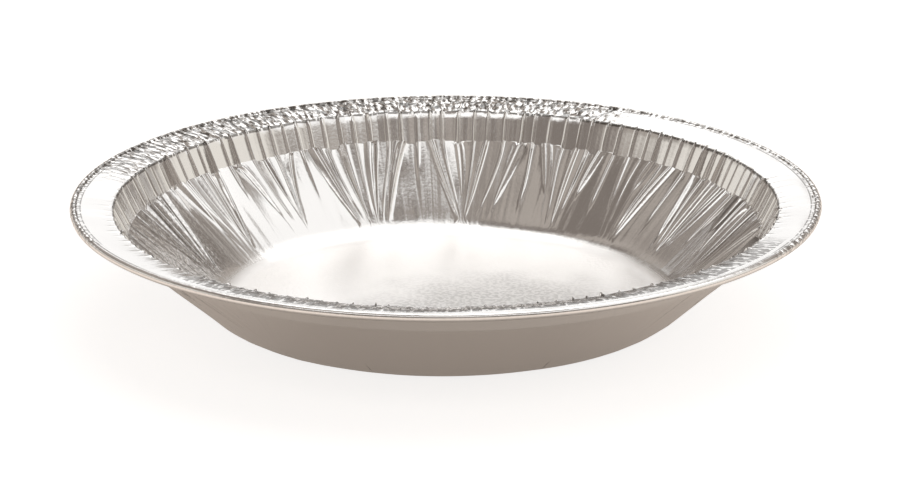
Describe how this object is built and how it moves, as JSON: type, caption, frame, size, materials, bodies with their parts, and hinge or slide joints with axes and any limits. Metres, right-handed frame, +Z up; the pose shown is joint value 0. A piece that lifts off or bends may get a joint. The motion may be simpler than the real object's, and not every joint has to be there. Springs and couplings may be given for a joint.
{
  "type": "foil pie tin",
  "caption": "Round disposable baking dish pressed from thin aluminium foil, with a pleated sloping wall, a steep band and a flat rim rolled into a bead.",
  "frame": {"origin": "middle of the underside of the flat base", "axes": "+Z up along the dish's axis; the dish is round, so +X and +Y are any two directions across it"},
  "size_m": [0.245, 0.245, 0.0374],
  "materials": {
    "foil": "bright rolled foil, bare"
  },
  "bodies": {
    "root": {"pie_tin": "foil"}
  },
  "joints": []
}
